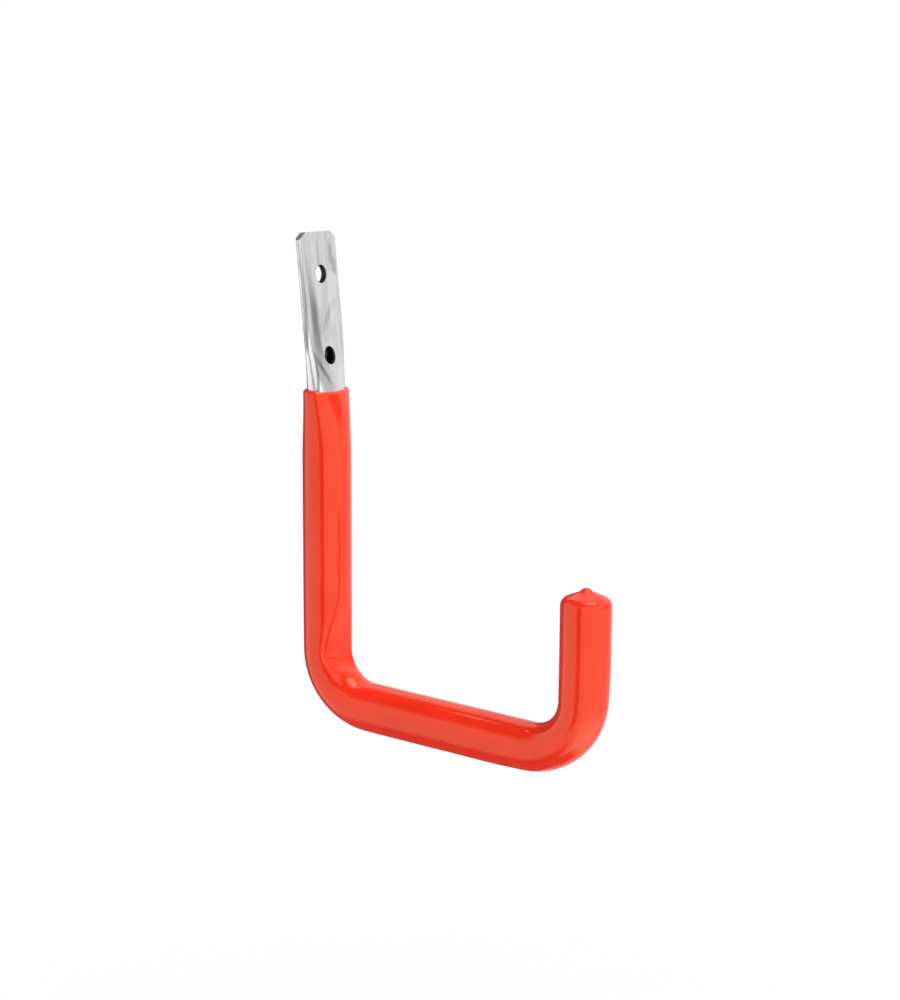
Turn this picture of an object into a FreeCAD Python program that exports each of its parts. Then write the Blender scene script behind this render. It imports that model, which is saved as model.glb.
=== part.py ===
import FreeCAD, Part
import os
import Sketcher

# Garage utility hook: one length of steel tube, pressed flat at its top end
# and bent twice into a J, with a vinyl coat dipped over the J.
# Millimetres. +Z is up, -Y comes out of the wall, X runs across the hook.
# The origin is midway between the two screw holes of the flat tab.

# Driving dimensions
DRIVING_DIMENSIONS = [
    # The steel tube
    ("tube_diameter", 15.9, "outside diameter of the round tube"),
    ("tube_wall", 1.1, "wall of the tube"),
    ("shank_length", 95.0, "round shank, from the flare to the line of the arm"),
    ("arm_length", 112.8, "shank line to lip line, measured level"),
    ("arm_slope", 3.0, "degrees the arm falls towards the lip"),
    ("lip_length", 59.0, "line of the arm to the open end of the tube"),
    ("bend_radius", 21.0, "radius of both bends on the tube's centre line"),
    # The pressed end
    ("tab_length", 31.5, "fully flat length at the top"),
    ("tab_gap", 0.2, "gap left between the two pressed walls"),
    ("tab_spread", 0.5, "width that the press adds to the flat tab"),
    ("tab_lean", 5.6, "degrees the tab leans back towards the wall"),
    ("lean_length", 40.0, "length below the tab over which it starts to lean"),
    ("flare_length", 54.5, "length over which flat turns to round"),
    ("corner_cut_width", 4.2, "clipped corner, across the tab"),
    ("corner_cut_height", 2.8, "clipped corner, down the tab"),
    ("hole_diameter", 6.8, "screw holes"),
    ("hole_spacing", 30.6, "screw hole to screw hole"),
    ("top_margin", 15.8, "upper screw hole to the end of the tab"),
    # The vinyl coat
    ("coat_thickness", 1.5, "vinyl on the round tube"),
    ("coat_edge_bevel", 0.8, "bevel round the coat's top edge"),
    ("bare_length", 59.2, "end of the tab to the top edge of the coat"),
    ("cap_thickness", 1.8, "vinyl over the open end of the tube"),
    ("cap_shoulder_radius", 3.6, "rounding at the rim of the cap"),
    ("cap_cone_angle", 22.0, "degrees the cap rises from its rim"),
    ("drip_radius", 2.6, "rounded top of the hardened drip"),
    ("drip_foot_radius", 4.0, "hollow curve at the foot of the drip"),
    ("drip_side_angle", 46.0, "steepest slope of the drip, in degrees"),
]

doc = FreeCAD.newDocument("garage_utility_hook")
sheet = doc.addObject("Spreadsheet::Sheet", "Sizes")
for row, (alias, number, meaning) in enumerate(DRIVING_DIMENSIONS, start=1):
    sheet.set(f"A{row}", meaning)
    sheet.set(f"B{row}", str(number))
    sheet.setAlias(f"B{row}", alias)
doc.recompute()

# Places that follow from the driving dimensions
places = doc.addObject("App::VarSet", "Places")


def derive(name, expression):
    places.addProperty("App::PropertyFloat", name)
    places.setExpression(name, expression)


derive("tube_radius", "Sizes.tube_diameter / 2")
derive("coat_radius", "Places.tube_radius + Sizes.coat_thickness")
derive("tab_half_thickness", "Sizes.tube_wall + Sizes.tab_gap / 2")
derive("tab_top", "Sizes.hole_spacing / 2 + Sizes.top_margin")
derive("flat_foot", "Places.tab_top - Sizes.tab_length")
derive("flare_foot", "Places.flat_foot - Sizes.flare_length")
derive("coat_edge", "Places.tab_top - Sizes.bare_length")
# The flare curves back on an arc, and the tab goes on straight from its end.
derive("lean_foot", "Places.flat_foot - Sizes.lean_length")
derive("lean_radius", "Sizes.lean_length / sin(Sizes.tab_lean)")
derive("lean_offset", "Places.lean_radius * (1 - cos(Sizes.tab_lean))")
# One upright plane passes through both screw holes. It lies a third of a wall
# in from the back of the tab, and the shank's line is set out from it.
derive("tab_back", "Places.lean_offset + Places.tab_half_thickness / cos(Sizes.tab_lean)")
derive("hole_depth", "Sizes.tube_wall / 3")
derive("screw_plane", "Places.tab_back - Places.flat_foot * tan(Sizes.tab_lean) - Places.hole_depth")
derive("shank_y", "-Places.screw_plane")
# The shank and arm lines meet at the near corner, the arm and lip lines at the far one.
derive("lip_y", "Places.shank_y - Sizes.arm_length")
derive("near_corner_z", "Places.flare_foot - Sizes.shank_length")
derive("far_corner_z", "Places.near_corner_z - Sizes.arm_length * tan(Sizes.arm_slope)")
derive("near_centre_z", "Places.near_corner_z + Sizes.bend_radius * tan((90 - Sizes.arm_slope) / 2)")
derive("far_centre_z", "Places.far_corner_z + Sizes.bend_radius * tan((90 + Sizes.arm_slope) / 2)")
derive("mouth_z", "Places.far_corner_z + Sizes.lip_length")
# The cap's rounded rim starts a little below the open end of the tube.
derive("cap_start", "Sizes.cap_thickness - Sizes.cap_shoulder_radius * cos(Sizes.cap_cone_angle)")
doc.recompute()


def value(expression):
    result = sheet.evalExpression(str(expression))
    return float(getattr(result, "Value", result))


def point(x, y):
    return FreeCAD.Vector(value(x), value(y), 0)


def drive(sketch, constraint, expression):
    index = sketch.addConstraint(constraint)
    sketch.setExpression(f"Constraints[{index}]", expression)


def hold(sketch, edge, end, x, y):
    """Fixes one end of an edge at a place given by two expressions."""
    for axis, expression in (("DistanceX", x), ("DistanceY", y)):
        number = value(expression)
        first, second = ((-1, 1), (edge, end)) if number >= 0 else ((edge, end), (-1, 1))
        sign = "" if number >= 0 else "-"
        constraint = Sketcher.Constraint(axis, *first, *second, abs(number))
        drive(sketch, constraint, f"{sign}({expression})")


def new_sketch(body, name, role):
    sketch = body.newObject("Sketcher::SketchObject", f"{body.Name}_{name}")
    plane = [item for item in body.Origin.OriginFeatures if item.Role == role][0]
    sketch.AttachmentSupport = (plane, "")
    sketch.MapMode = "FlatFace"
    return sketch


def new_feature(body, kind, name, profile):
    feature = body.newObject(f"PartDesign::{kind}", f"{body.Name}_{name}")
    feature.Profile = profile
    feature.Refine = False
    return feature


# Cross-sections of the tube are ovals of four arcs. "turn" is the direction, in
# degrees, where a side arc meets a face arc: 45 on the round tube, 90 on the flat tab.
ROUND_TURN = 45
FLAT_TURN = 90
TURN_EASING = 1.5
# A wall that is pressed in by one length moves the fold out by this much of it.
FOLD_SPREAD = "(pi / 2 - 1)"


class Section:
    """A cross-section of the pressed end at height z: flat at the top, round at the foot."""

    def __init__(self, name, z):
        self.name = name
        self.z = z
        share = f"min(1; max(0; (Places.flat_foot - ({z})) / Sizes.flare_length))"
        easing = f"(({share})^2 * (3 - 2 * {share}))"
        pressed = f"((Places.tube_radius - Places.tab_half_thickness) * (1 - {easing}))"
        self.half_thickness = f"(Places.tube_radius - {pressed})"
        spread = f"({FOLD_SPREAD} * {pressed} + Sizes.tab_spread / 2 * (1 - {easing}))"
        self.half_width = f"(Places.tube_radius + {spread})"
        self.flat = value(share) == 0
        self.turn = f"({FLAT_TURN} - {FLAT_TURN - ROUND_TURN} * ({share})^{TURN_EASING})"
        # The line through the sections is upright, then leans back on the arc.
        lean = f"(max(0; {z} - Places.lean_foot) / Places.lean_radius)"
        self.y = f"Places.shank_y + Places.lean_radius * (1 - sqrt(1 - {lean}^2))"
        self.angle = f"180 deg - asin({lean})"

    def draw(self, body, offset):
        """Draws the section, grown by an offset, square to the line and facing down it."""
        sketch = new_sketch(body, self.name, "XY_Plane")
        sketch.AttachmentOffset = FreeCAD.Placement(
            FreeCAD.Vector(0, value(self.y), value(self.z)),
            FreeCAD.Rotation(FreeCAD.Vector(1, 0, 0), value(self.angle)),
        )
        sketch.setExpression("AttachmentOffset.Base.y", self.y)
        sketch.setExpression("AttachmentOffset.Base.z", self.z)
        sketch.setExpression("AttachmentOffset.Rotation.Angle", self.angle)
        if self.flat:
            self.draw_flat(sketch, offset)
        else:
            self.draw_oval(sketch, offset)
        return sketch

    def draw_oval(self, sketch, offset):
        turn = self.turn
        spread = f"(({self.half_width} - {self.half_thickness}) / (cos{turn} + sin{turn} - 1))"
        side = f"({self.half_width} - {spread} * cos{turn} + {offset})"
        face = f"({side} + {spread})"
        corner_x = f"{face} * cos{turn}"
        corner_y = f"{side} * sin{turn}"
        out = value(f"{spread} * cos{turn}")
        down = value(f"{spread} * sin{turn}")
        angle = value(f"{turn} * pi / 180")
        half_circle = value("pi")
        arcs = [
            (out, 0, side, -angle, angle),
            (0, -down, face, angle, half_circle - angle),
            (-out, 0, side, half_circle - angle, half_circle + angle),
            (0, down, face, half_circle + angle, 2 * half_circle - angle),
        ]
        for x, y, radius, start, end in arcs:
            circle = Part.Circle(FreeCAD.Vector(x, y, 0), FreeCAD.Vector(0, 0, 1), value(radius))
            sketch.addGeometry(Part.ArcOfCircle(circle, start, end))
        self.close_and_mirror(sketch)
        hold(sketch, 0, 2, corner_x, corner_y)
        drive(sketch, Sketcher.Constraint("Radius", 0, value(side)), side)
        drive(sketch, Sketcher.Constraint("Radius", 1, value(face)), face)
        sketch.addConstraint(Sketcher.Constraint("Equal", 0, 2))
        sketch.addConstraint(Sketcher.Constraint("Equal", 1, 3))

    def draw_flat(self, sketch, offset):
        fold = f"({self.half_thickness} + {offset})"
        half_flat = f"({self.half_width} - {self.half_thickness})"
        x = value(half_flat)
        y = value(fold)
        quarter = value("pi / 2")
        up = FreeCAD.Vector(0, 0, 1)
        right = Part.Circle(FreeCAD.Vector(x, 0, 0), up, y)
        left = Part.Circle(FreeCAD.Vector(-x, 0, 0), up, y)
        sketch.addGeometry(Part.ArcOfCircle(right, -quarter, quarter))
        sketch.addGeometry(Part.LineSegment(FreeCAD.Vector(x, y, 0), FreeCAD.Vector(-x, y, 0)))
        sketch.addGeometry(Part.ArcOfCircle(left, quarter, 3 * quarter))
        sketch.addGeometry(Part.LineSegment(FreeCAD.Vector(-x, -y, 0), FreeCAD.Vector(x, -y, 0)))
        self.close_and_mirror(sketch)
        hold(sketch, 0, 2, half_flat, fold)
        drive(sketch, Sketcher.Constraint("DistanceX", -1, 1, 0, 3, x), half_flat)
        drive(sketch, Sketcher.Constraint("DistanceX", 2, 3, -1, 1, x), half_flat)

    def close_and_mirror(self, sketch):
        for edge in range(4):
            sketch.addConstraint(Sketcher.Constraint("Coincident", edge, 2, (edge + 1) % 4, 1))
        sketch.addConstraint(Sketcher.Constraint("Symmetric", 0, 1, 0, 2, -1))
        sketch.addConstraint(Sketcher.Constraint("Symmetric", 1, 1, 1, 2, -2))
        sketch.addConstraint(Sketcher.Constraint("Symmetric", 2, 1, 2, 2, -1))


def flare(body, name, sketches, ruled=False):
    feature = new_feature(body, "AdditiveLoft", name, sketches[0])
    feature.Sections = [(sketch, [""]) for sketch in sketches[1:]]
    feature.Ruled = ruled
    doc.recompute()


def bent_path(body, lip_end):
    """The tube's line: down the shank, round the near bend, along the arm, up the lip."""
    path = new_sketch(body, "path", "YZ_Plane")
    near_y = "Places.shank_y - Sizes.bend_radius"
    far_y = "Places.lip_y + Sizes.bend_radius"
    fall = "Sizes.arm_slope"
    near_foot = (
        f"{near_y} + Sizes.bend_radius * sin({fall})",
        f"Places.near_centre_z - Sizes.bend_radius * cos({fall})",
    )
    far_foot = (
        f"{far_y} + Sizes.bend_radius * sin({fall})",
        f"Places.far_centre_z - Sizes.bend_radius * cos({fall})",
    )
    end_z = f"Places.mouth_z + {lip_end}"
    slope = value(f"{fall} * pi / 180")
    half_circle = value("pi")
    radius = value("Sizes.bend_radius")
    up = FreeCAD.Vector(0, 0, 1)
    near = Part.Circle(point(near_y, "Places.near_centre_z"), up, radius)
    far = Part.Circle(point(far_y, "Places.far_centre_z"), up, radius)
    shank_top = point("Places.shank_y", "Places.flare_foot")
    shank_end = point("Places.shank_y", "Places.near_centre_z")
    lip_start = point("Places.lip_y", "Places.far_centre_z")
    path.addGeometry(Part.LineSegment(shank_top, shank_end))
    path.addGeometry(Part.ArcOfCircle(near, 1.5 * half_circle + slope, 2 * half_circle))
    path.addGeometry(Part.LineSegment(point(*near_foot), point(*far_foot)))
    path.addGeometry(Part.ArcOfCircle(far, half_circle, 1.5 * half_circle + slope))
    path.addGeometry(Part.LineSegment(lip_start, point("Places.lip_y", end_z)))
    path.addConstraint(Sketcher.Constraint("Coincident", 0, 2, 1, 2))
    path.addConstraint(Sketcher.Constraint("Coincident", 1, 1, 2, 1))
    path.addConstraint(Sketcher.Constraint("Coincident", 2, 2, 3, 2))
    path.addConstraint(Sketcher.Constraint("Coincident", 3, 1, 4, 1))
    hold(path, 0, 1, "Places.shank_y", "Places.flare_foot")
    hold(path, 0, 2, "Places.shank_y", "Places.near_centre_z")
    hold(path, 2, 1, *near_foot)
    hold(path, 2, 2, *far_foot)
    hold(path, 4, 1, "Places.lip_y", "Places.far_centre_z")
    hold(path, 4, 2, "Places.lip_y", end_z)
    for arc in (1, 3):
        drive(path, Sketcher.Constraint("Radius", arc, radius), "Sizes.bend_radius")
    return path


def bent_tube(body, profile, lip_end):
    path = bent_path(body, lip_end)
    doc.recompute()
    pipe = new_feature(body, "AdditivePipe", "bent_tube", profile)
    pipe.Spine = (path, [f"Edge{number}" for number in range(1, 6)])
    doc.recompute()


def tab(body, profile, length):
    pad = new_feature(body, "Pad", "tab", profile)
    pad.setExpression("Length", length)
    pad.Reversed = True
    doc.recompute()


def cut_through(body, name, sketch):
    pocket = new_feature(body, "Pocket", name, sketch)
    pocket.Type = "ThroughAll"
    pocket.SideType = "Symmetric"
    doc.recompute()


# The tube's outside, filled: tab, flare, then the bent tube
FLARE_STEPS = 4
flare_sections = [
    Section(f"flare_{step}", f"(Places.flat_foot - Sizes.flare_length * {step} / {FLARE_STEPS})")
    for step in range(FLARE_STEPS + 1)
]
TAB_RUN = "Sizes.tab_length / cos(Sizes.tab_lean)"
tube_outside = doc.addObject("PartDesign::Body", "tube_outside")
drawn = [section.draw(tube_outside, "0") for section in flare_sections]
flare(tube_outside, "flare", drawn)
tab(tube_outside, drawn[0], TAB_RUN)
bent_tube(tube_outside, drawn[-1], "0")

# Two screw holes, level through both walls
holes = new_sketch(tube_outside, "screw_hole_sketch", "XZ_Plane")
hole_radius = value("Sizes.hole_diameter / 2")
for hole, place in enumerate(("Sizes.hole_spacing / 2", "-Sizes.hole_spacing / 2")):
    holes.addGeometry(Part.Circle(point("0", place), FreeCAD.Vector(0, 0, 1), hole_radius))
    drive(holes, Sketcher.Constraint("Radius", hole, hole_radius), "Sizes.hole_diameter / 2")
    hold(holes, hole, 3, "0", place)
doc.recompute()
cut_through(tube_outside, "screw_holes", holes)

# Both top corners clipped by one slanting line each
clips = new_sketch(tube_outside, "corner_clip_sketch", "XZ_Plane")
clip_end = f"({flare_sections[0].half_width})"
clip_corners = [
    (f"{clip_end} - 2 * Sizes.corner_cut_width", "Places.tab_top + Sizes.corner_cut_height"),
    (f"{clip_end} + Sizes.corner_cut_width", "Places.tab_top - 2 * Sizes.corner_cut_height"),
    (f"{clip_end} + Sizes.corner_cut_width", "Places.tab_top + Sizes.corner_cut_height"),
]
for side in ("", "-"):
    corners = [(f"{side}({x})", z) for x, z in clip_corners]
    first = clips.GeometryCount
    for step in range(3):
        clips.addGeometry(Part.LineSegment(point(*corners[step]), point(*corners[(step + 1) % 3])))
    for step in range(3):
        following = first + (step + 1) % 3
        clips.addConstraint(Sketcher.Constraint("Coincident", first + step, 2, following, 1))
        hold(clips, first + step, 1, *corners[step])
doc.recompute()
cut_through(tube_outside, "corner_clips", clips)

# The tube's inside: a slit between the pressed walls that opens into the round bore.
# It runs a wall's thickness past the end of the tab and past the open mouth.
tube_inside = doc.addObject("PartDesign::Body", "tube_inside")
drawn = [section.draw(tube_inside, "-Sizes.tube_wall") for section in flare_sections]
flare(tube_inside, "flare", drawn)
tab(tube_inside, drawn[0], f"{TAB_RUN} + Sizes.tube_wall")
bent_tube(tube_inside, drawn[-1], "Sizes.tube_wall")
steel_tube = doc.addObject("Part::Cut", "steel_tube")
steel_tube.Label = "steel_tube"
steel_tube.Base = tube_outside
steel_tube.Tool = tube_inside
steel_tube.Refine = False
doc.recompute()

# The coat's outside: a bevelled top edge on the flare, then the bent tube
COAT_STEPS = 3
coat_top = "(Places.coat_edge - Sizes.coat_edge_bevel)"
coat_sections = [
    Section(f"coat_{step}", f"({coat_top} - ({coat_top} - Places.flare_foot) * {step} / {COAT_STEPS})")
    for step in range(COAT_STEPS + 1)
]
coat_outside = doc.addObject("PartDesign::Body", "coat_outside")
edge = Section("coat_edge", "Places.coat_edge").draw(
    coat_outside, "(Sizes.coat_thickness - Sizes.coat_edge_bevel)"
)
drawn = [section.draw(coat_outside, "Sizes.coat_thickness") for section in coat_sections]
flare(coat_outside, "edge", [edge, drawn[0]], ruled=True)
flare(coat_outside, "flare", drawn)
bent_tube(coat_outside, drawn[-1], "Places.cap_start")

# The cap over the open end, with the drip that hardened on it. Its outline is turned
# about the lip's line: base, rim, cone, hollow foot of the drip, round top of the drip.
cap = new_sketch(coat_outside, "cap_sketch", "YZ_Plane")
cap.setExpression("AttachmentOffset.Base.x", "Places.lip_y")
cap.setExpression("AttachmentOffset.Base.y", "Places.mouth_z")
shoulder = "Sizes.cap_shoulder_radius"
cone = "(Sizes.cap_cone_angle)"
steep = "(Sizes.drip_side_angle)"
rim_x = f"(Places.coat_radius - {shoulder} * (1 - sin{cone}))"
rim_z = f"(Places.cap_start + {shoulder} * cos{cone})"
waist_x = f"(Sizes.drip_radius * sin{steep})"
foot_x = f"({waist_x} + Sizes.drip_foot_radius * (sin{steep} - sin{cone}))"
foot_z = f"({rim_z} + ({rim_x} - {foot_x}) * tan{cone})"
waist_z = f"({foot_z} + Sizes.drip_foot_radius * (cos{cone} - cos{steep}))"
peak_z = f"({waist_z} + Sizes.drip_radius * (1 - cos{steep}))"
outline = [
    ("0", "Places.cap_start"),
    ("Places.coat_radius", "Places.cap_start"),
    (rim_x, rim_z),
    (foot_x, foot_z),
    (waist_x, waist_z),
    ("0", peak_z),
]
arc_centres = {
    1: (f"Places.coat_radius - {shoulder}", "Places.cap_start", shoulder),
    3: (
        f"{waist_x} + Sizes.drip_foot_radius * sin{steep}",
        f"{waist_z} + Sizes.drip_foot_radius * cos{steep}",
        "Sizes.drip_foot_radius",
    ),
    4: ("0", f"{peak_z} - Sizes.drip_radius", "Sizes.drip_radius"),
}
corners = [point(*place) for place in outline]
for step, start in enumerate(corners):
    end = corners[(step + 1) % len(corners)]
    if step in arc_centres:
        x, z, radius = arc_centres[step]
        centre = point(x, z)
        outward = ((start + end) * 0.5 - centre).normalize()
        cap.addGeometry(Part.Arc(start, centre + outward * value(radius), end))
    else:
        cap.addGeometry(Part.LineSegment(start, end))


def end_at(edge, corner):
    """Which end of an edge lies at a corner: arcs may be stored either way round."""
    return min((1, 2), key=lambda end: cap.getPoint(edge, end).distanceToPoint(corner))


for step, corner in enumerate(corners):
    before = (step - 1) % len(corners)
    joint = (before, end_at(before, corner), step, end_at(step, corner))
    cap.addConstraint(Sketcher.Constraint("Coincident", *joint))
for step, (corner, place) in enumerate(zip(corners, outline)):
    hold(cap, step, end_at(step, corner), *place)
for step, (x, z, radius) in arc_centres.items():
    drive(cap, Sketcher.Constraint("Radius", step, value(radius)), radius)
doc.recompute()
cap_turn = new_feature(coat_outside, "Revolution", "cap", cap)
cap_turn.ReferenceAxis = (cap, ["V_Axis"])
cap_turn.Angle = 360
doc.recompute()

# The coat fits the tube exactly: its inside is the tube's outside
vinyl_coat = doc.addObject("Part::Cut", "vinyl_coat")
vinyl_coat.Label = "vinyl_coat"
vinyl_coat.Base = coat_outside
vinyl_coat.Tool = tube_outside
vinyl_coat.Refine = False
doc.recompute()

# Every object must be sound before the two pieces are written out
for item in doc.Objects:
    if "Invalid" in item.State or "Error" in item.State:
        raise RuntimeError(f"{item.Name} did not build: {item.State}")
os.makedirs("parts", exist_ok=True)
for piece in (steel_tube, vinyl_coat):
    if piece.Shape.isNull() or not piece.Shape.isValid():
        raise RuntimeError(f"{piece.Label} is not a sound solid")
    piece.Shape.exportStep(f"parts/{piece.Label}.step")
    print(piece.Label, "volume", round(piece.Shape.Volume, 1), "faces", len(piece.Shape.Faces))
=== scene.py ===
# %% [markdown]
# A garage utility hook
# The real hook is one length of steel tube. A press flattens its top end into a tab with two
# screw holes, a bender folds it twice into a J, and the J is dipped in liquid vinyl, which sets
# as a thick glossy skin with a drip at its lowest hanging point.
# This lesson rebuilds those steps in Blender: one line, one rule for the tube's cross-section,
# and one tree of nodes that sweeps the rule along the line, first for the steel and then for
# the vinyl. The engineering model is loaded first, because every place is measured in its frame.

# %% Load the engineering model
import math

import bmesh
import bpy
from mathutils import Matrix, Vector


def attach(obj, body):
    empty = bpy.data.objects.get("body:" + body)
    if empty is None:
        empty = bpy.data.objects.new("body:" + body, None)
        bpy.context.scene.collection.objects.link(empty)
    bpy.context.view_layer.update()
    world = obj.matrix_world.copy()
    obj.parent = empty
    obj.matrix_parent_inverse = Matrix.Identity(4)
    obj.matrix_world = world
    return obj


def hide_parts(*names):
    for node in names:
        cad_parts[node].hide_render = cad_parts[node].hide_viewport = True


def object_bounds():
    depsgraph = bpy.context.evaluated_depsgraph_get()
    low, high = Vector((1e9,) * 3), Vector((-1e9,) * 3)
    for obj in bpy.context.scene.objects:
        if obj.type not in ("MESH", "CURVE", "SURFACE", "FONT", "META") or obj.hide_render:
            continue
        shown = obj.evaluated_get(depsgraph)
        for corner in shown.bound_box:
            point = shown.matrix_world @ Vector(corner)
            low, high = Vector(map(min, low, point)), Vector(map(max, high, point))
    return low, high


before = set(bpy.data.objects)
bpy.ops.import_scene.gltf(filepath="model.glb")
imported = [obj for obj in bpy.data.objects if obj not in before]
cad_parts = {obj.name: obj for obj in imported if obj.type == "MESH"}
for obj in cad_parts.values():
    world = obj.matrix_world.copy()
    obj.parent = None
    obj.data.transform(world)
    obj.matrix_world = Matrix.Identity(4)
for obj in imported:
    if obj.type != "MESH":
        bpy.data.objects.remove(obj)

cad_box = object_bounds()
scene = bpy.context.scene
scene.view_settings.view_transform = "Standard"
rounded_box = [[round(value, 4) for value in corner] for corner in cad_box]
print("nodes", sorted(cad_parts), "box", rounded_box)

# %% [markdown]
# The sizes
# Every length is in metres, written as millimetres times MM. Z is up, -Y comes out of the wall
# and X runs across the hook. The values are those of the engineering model, so that the
# dressed pieces fall exactly on its solids.

# %% Sizes of the tube, its press marks and its coat
MM = 0.001
TUBE_RADIUS = 7.95 * MM
TUBE_WALL = 1.1 * MM
BEND_RADIUS = 21.0 * MM
ARM_SLOPE = math.radians(3.0)
ARM_LENGTH = 112.8 * MM
TAB_LENGTH = 31.5 * MM
TAB_TOP = 31.1 * MM
TAB_HALF_THICKNESS = 1.2 * MM
TAB_SPREAD = 0.5 * MM
TAB_LEAN = math.radians(5.6)
LEAN_LENGTH = 40.0 * MM
FLARE_LENGTH = 54.5 * MM
SHANK_Y = -2.835 * MM
FLAT_FOOT = TAB_TOP - TAB_LENGTH
NEAR_CORNER_Z = FLAT_FOOT - FLARE_LENGTH - 95.0 * MM
LIP_LENGTH = 59.0 * MM
COAT_THICKNESS = 1.5 * MM
COAT_EDGE = -28.1 * MM
LIP_Y = SHANK_Y - ARM_LENGTH
FAR_CORNER_Z = NEAR_CORNER_Z - ARM_LENGTH * math.tan(ARM_SLOPE)
MOUTH_Z = FAR_CORNER_Z + LIP_LENGTH
print("mouth of the tube at", round(MOUTH_Z / MM, 2), "mm, lip line at", round(LIP_Y / MM, 2), "mm")

# %% [markdown]
# The camera
# The photograph was taken from the front left and a little above. The eye and the two
# directions were found by fitting the outline of the hook, so the picture needs no shift.

# %% Camera at the photograph's viewpoint
EYE = Vector((-621.7, -436.6, 71.0)) * MM
PICTURE_RIGHT = Vector((0.52099, -0.85354, 0.00647)).normalized()
PICTURE_UP = Vector((0.15419, 0.10156, 0.98281)).normalized()
PICTURE_BACK = PICTURE_RIGHT.cross(PICTURE_UP)
camera_data = bpy.data.cameras.new("photograph_camera")
camera_data.lens = 72.0
camera_data.sensor_width = 36.0
camera = bpy.data.objects.new("photograph_camera", camera_data)
turn = Matrix((PICTURE_RIGHT, PICTURE_UP, PICTURE_BACK)).transposed()
camera.matrix_world = Matrix.Translation(EYE) @ turn.to_4x4()
scene.collection.objects.link(camera)
scene.camera = camera
print("camera looks along", [round(-value, 3) for value in PICTURE_BACK])

# %% [markdown]
# Writing node trees as sums
# Shapes and finishes below are all worked out by nodes. A tree with fifty Math nodes is hard to
# read as links, and easy to read as a formula, so one small class wraps an output socket and
# gives it the usual operators. Any other node comes from one method of the bench.

# %% The bench that adds nodes, and the wire that does sums
class Wire:
    """One output of a node. Arithmetic on it adds Math nodes to its tree."""

    def __init__(self, bench, socket):
        self.bench = bench
        self.socket = socket

    def sum(self, operation, *values):
        inputs = dict(enumerate(values))
        return self.bench.node("ShaderNodeMath", {"operation": operation}, inputs)

    def beside(self, name):
        return Wire(self.bench, self.socket.node.outputs[name])

    def __add__(self, other):
        return self.sum("ADD", self, other)

    def __radd__(self, other):
        return self.sum("ADD", other, self)

    def __sub__(self, other):
        return self.sum("SUBTRACT", self, other)

    def __rsub__(self, other):
        return self.sum("SUBTRACT", other, self)

    def __mul__(self, other):
        return self.sum("MULTIPLY", self, other)

    def __rmul__(self, other):
        return self.sum("MULTIPLY", other, self)

    def __truediv__(self, other):
        return self.sum("DIVIDE", self, other)

    def __pow__(self, other):
        return self.sum("POWER", self, other)

    def __mod__(self, other):
        return self.sum("MODULO", self, other)

    def floor(self):
        return self.sum("FLOOR", self)

    def size(self):
        return self.sum("ABSOLUTE", self)

    def sin(self):
        return self.sum("SINE", self)

    def cos(self):
        return self.sum("COSINE", self)

    def at_most(self, other):
        return self.sum("MINIMUM", self, other)

    def at_least(self, other):
        return self.sum("MAXIMUM", self, other)

    def rise(self, start, end):
        """Goes smoothly from 0 at start to 1 at end."""
        settings = {"interpolation_type": "SMOOTHSTEP"}
        return self.bench.node("ShaderNodeMapRange", settings, {0: self, 1: start, 2: end})


class Bench:
    """A node tree, and the one way in which nodes are put into it."""

    def __init__(self, tree):
        self.tree = tree

    def node(self, kind, settings=None, inputs=None, output=0):
        made = self.tree.nodes.new(kind)
        for name, value in (settings or {}).items():
            setattr(made, name, value)
        for name, value in (inputs or {}).items():
            if isinstance(value, Wire):
                self.tree.links.new(value.socket, made.inputs[name])
            else:
                made.inputs[name].default_value = value
        if not made.outputs:
            return made
        return Wire(self, made.outputs[output])

    def vector(self, operation, first, second):
        return self.node("ShaderNodeVectorMath", {"operation": operation}, {0: first, 1: second})

    def mix(self, share, first, second):
        settings = {"data_type": "RGBA"}
        return self.node("ShaderNodeMix", settings, {0: share, 6: first, 7: second}, 2)


print("bench ready")

# %% [markdown]
# The line that the tube follows
# A bender works from straight runs and corner radii, and so does this step: five points and a
# radius at each corner. The upper corner is the slight lean of the tab towards the wall, with a
# very large radius. Fillet Curve rounds the corners later, inside the tree, so the line stays
# five points that anyone can move.

# %% The tube's line as five points with corner radii
lean_radius = LEAN_LENGTH / math.sin(TAB_LEAN)
lean_corner_z = FLAT_FOOT - LEAN_LENGTH + lean_radius * math.tan(TAB_LEAN / 2)
tab_end_y = SHANK_Y + (TAB_TOP - lean_corner_z) * math.tan(TAB_LEAN)
PAST_MOUTH = 8.0 * MM
line_points = [
    (tab_end_y, TAB_TOP, 0.0),
    (SHANK_Y, lean_corner_z, lean_radius),
    (SHANK_Y, NEAR_CORNER_Z, BEND_RADIUS),
    (LIP_Y, FAR_CORNER_Z, BEND_RADIUS),
    (LIP_Y, MOUTH_Z + PAST_MOUTH, 0.0),
]
line_data = bpy.data.curves.new("tube_line", "CURVE")
line_data.dimensions = "3D"
spline = line_data.splines.new("POLY")
spline.points.add(len(line_points) - 1)
for point, (y, z, radius) in zip(spline.points, line_points):
    point.co = (0.0, y, z, 1.0)
    point.radius = radius
tube_line = bpy.data.objects.new("tube_line", line_data)
scene.collection.objects.link(tube_line)

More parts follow.
